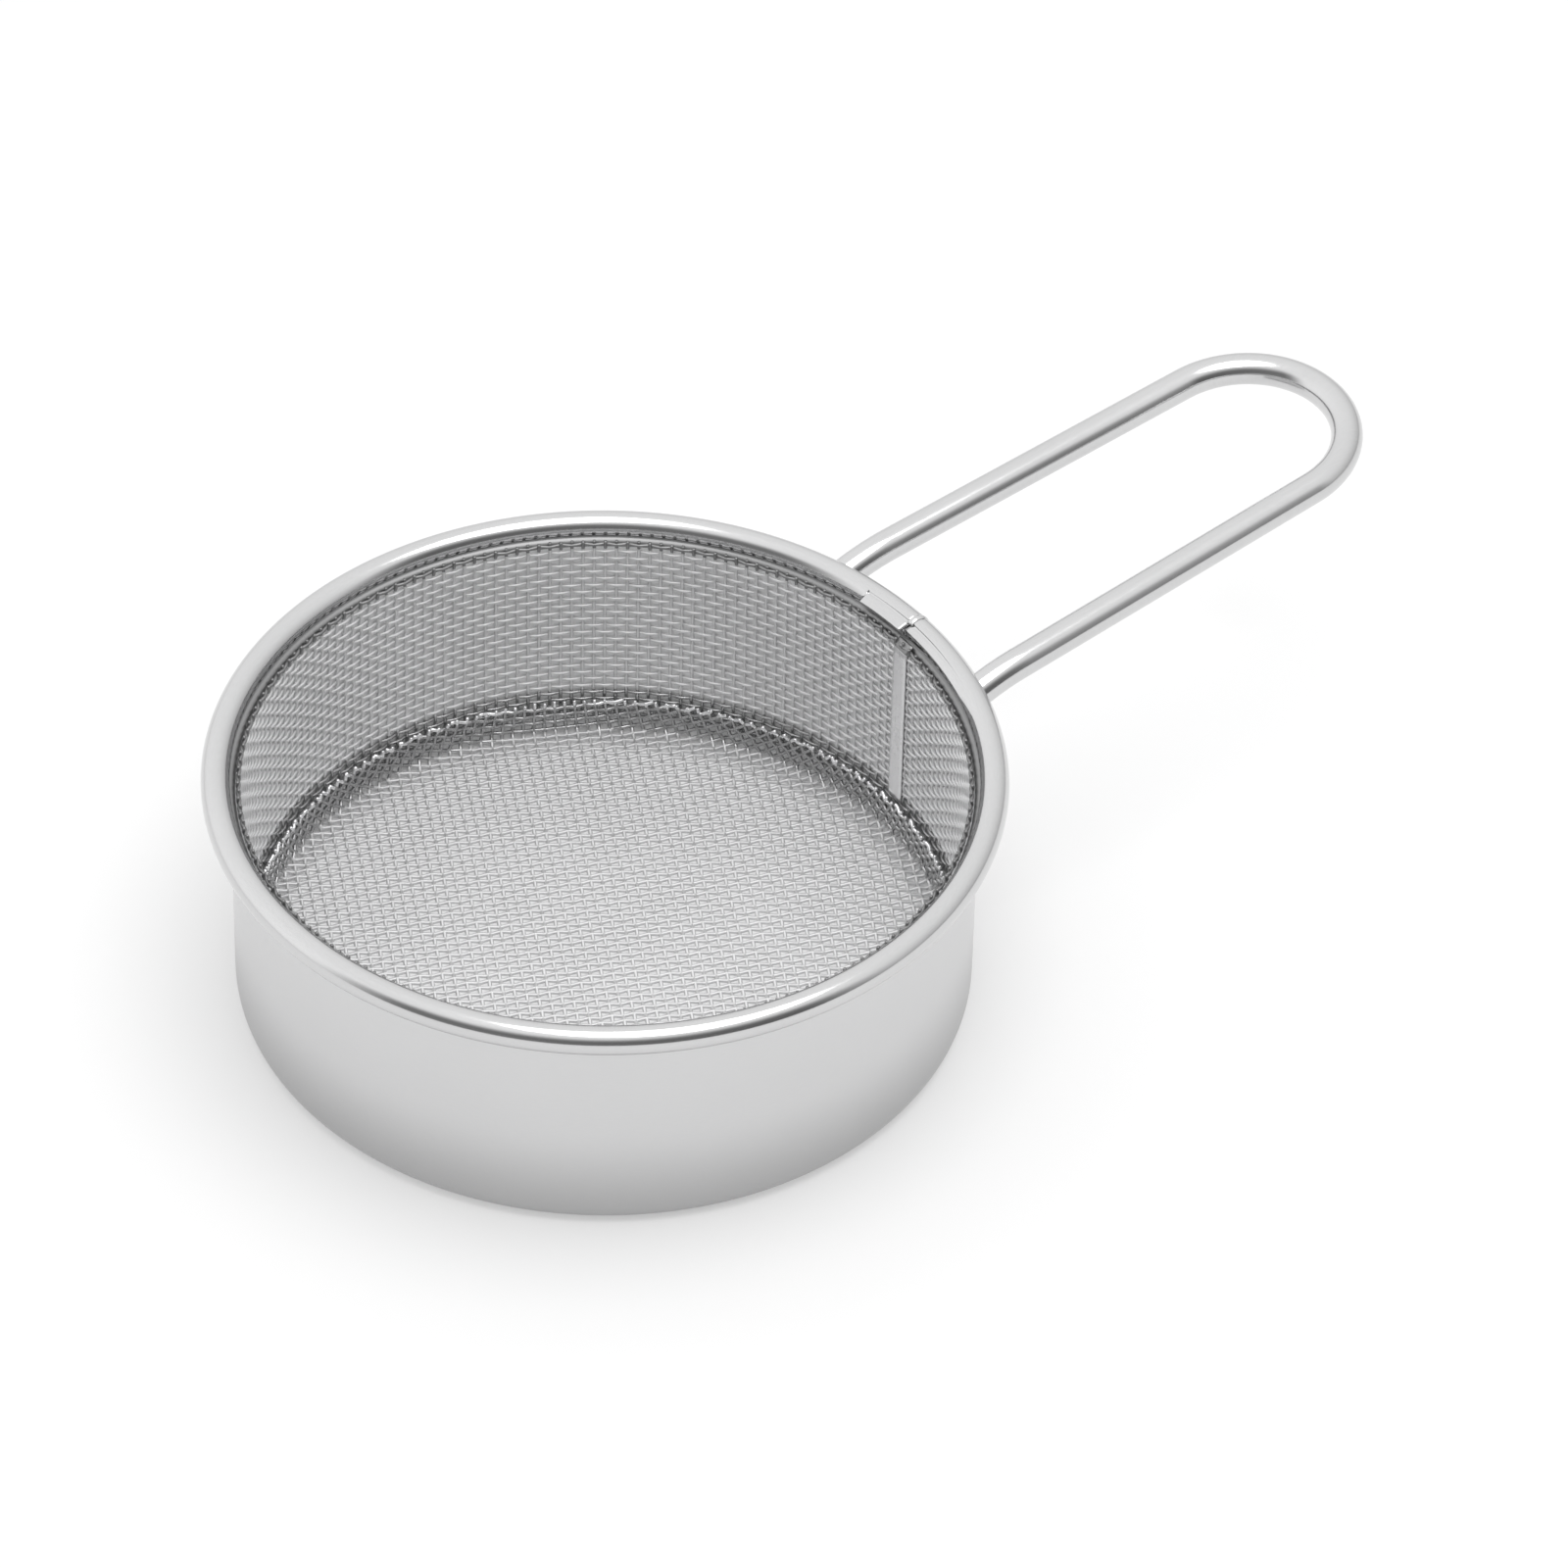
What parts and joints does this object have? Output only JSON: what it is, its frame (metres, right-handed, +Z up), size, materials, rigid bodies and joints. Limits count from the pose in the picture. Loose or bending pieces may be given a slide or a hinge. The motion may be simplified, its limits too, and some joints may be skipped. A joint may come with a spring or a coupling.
{
  "type": "tea strainer",
  "caption": "Round tea strainer: a steel ring lined with woven wire cloth, a rolled rim bead and a long loop handle bent from one wire.",
  "frame": {"origin": "on the cup's axis, in the plane of the flat foot ring that it stands on", "axes": "+X from the cup's axis along the handle, +Z up out of the cup's mouth, +Y to the left seen along the handle"},
  "size_m": [0.1253, 0.075, 0.0309],
  "materials": {
    "satin_steel": "satin stainless steel sheet",
    "polished_steel": "polished stainless steel strip",
    "weld_metal": "ground weld",
    "wire_cloth": "plain-woven stainless wire",
    "seam_strip": "flattened, fine satin",
    "handle_wire": "polished round stainless wire"
  },
  "bodies": {
    "root": {"shell": "satin_steel", "rim_binding": "polished_steel", "rim_weld": "weld_metal", "wall_mesh": "wire_cloth", "wall_seam": "seam_strip", "floor_mesh": "wire_cloth", "handle": "handle_wire", "handle_weld_left": "weld_metal", "handle_weld_right": "weld_metal"}
  },
  "joints": []
}
